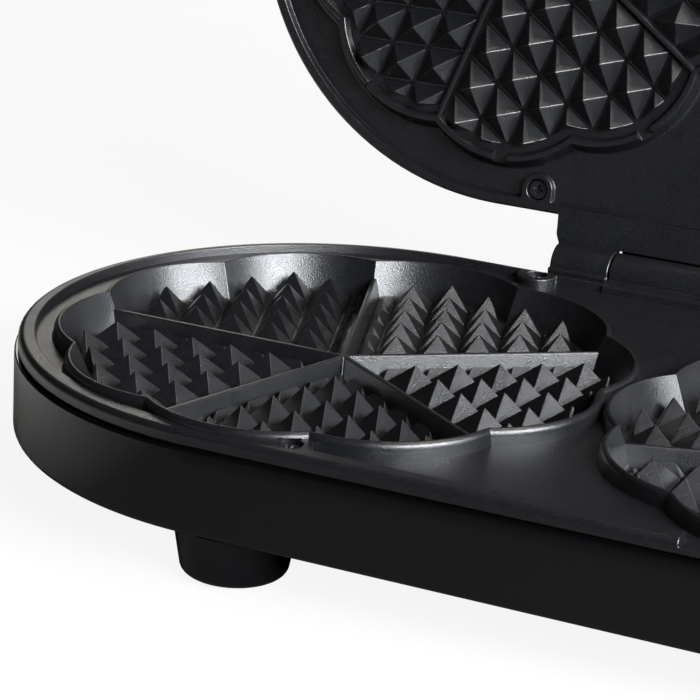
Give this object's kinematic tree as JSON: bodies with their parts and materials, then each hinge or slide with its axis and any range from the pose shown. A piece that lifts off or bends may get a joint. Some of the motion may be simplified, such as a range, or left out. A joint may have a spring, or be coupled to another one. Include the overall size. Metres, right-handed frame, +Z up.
{
  "type": "waffle maker",
  "caption": "Countertop waffle maker standing open: scalloped cooking plates with heart rosettes, a glossy base on feet and a rear-hinged lid with a lip handle and lamps.",
  "frame": {"origin": "on the table, midway along the plates and midway between the front of the base and the back of the open lid", "axes": "+X runs along the two plates, from the left one to the right one seen from the front; +Y runs back to the hinge; +Z is up"},
  "size_m": [0.3516, 0.2522, 0.2682],
  "materials": {
    "housing_plastic": "moulded heat-resistant plastic, glossy black",
    "handle_plastic": "moulded heat-resistant plastic, glossy black",
    "foot_plastic": "moulded plastic, glossy black",
    "lower_casting": "cast, with a matte charcoal non-stick coating that is finely speckled",
    "upper_casting": "cast, with a matte charcoal non-stick coating that is finely speckled",
    "steel": "plain bright steel",
    "black_steel": "blackened steel, satin",
    "heater_steel": "heater sheath, dull steel",
    "tin": "thin bright sheet",
    "ceramic": "glazed ceramic, off-white",
    "terminal_resin": "dark brown moulded resin",
    "gland_rubber": "black rubber, matte",
    "pad_rubber": "black rubber, matte",
    "red_lens": "clear red plastic",
    "green_lens": "clear green plastic",
    "lamp_board": "resin board"
  },
  "bodies": {
    "base": {"base_housing": "housing_plastic", "lower_plate": "lower_casting", "hinge_pin": "steel", "thermal_fuse": "ceramic", "lower_thermostat": "ceramic", "terminal_block": "terminal_resin", "cord_gland": "gland_rubber", "foot_front_left": "foot_plastic", "foot_pad_front_left": "pad_rubber", "foot_front_right": "foot_plastic", "foot_pad_front_right": "pad_rubber", "foot_rear_left": "foot_plastic", "foot_pad_rear_left": "pad_rubber", "foot_rear_right": "foot_plastic", "foot_pad_rear_right": "pad_rubber", "plate_screw_1": "black_steel", "plate_screw_2": "black_steel", "plate_screw_3": "black_steel", "plate_screw_4": "black_steel", "lower_heater_left": "heater_steel", "lower_reflector_left": "tin", "lower_heater_right": "heater_steel", "lower_reflector_right": "tin"},
    "lid": {"upper_plate": "upper_casting", "lid_housing": "housing_plastic", "lid_handle": "handle_plastic", "upper_heater_left": "heater_steel", "upper_heater_right": "heater_steel", "upper_reflector_left": "tin", "upper_reflector_right": "tin", "upper_thermostat": "ceramic", "power_lamp_lens": "red_lens", "ready_lamp_lens": "green_lens", "lamp_holder": "lamp_board", "handle_screw_1": "steel", "handle_screw_2": "steel", "lid_screw_1": "black_steel", "lid_screw_2": "black_steel", "lid_screw_3": "black_steel", "lid_screw_4": "black_steel"}
  },
  "joints": [
    {"name": "lid_hinge", "type": "hinge", "parent": "base", "child": "lid", "pos_m": [0, 0.06576, 0.0441], "axis": [1, 0, 0], "range_deg": [0, 99.07]}
  ]
}
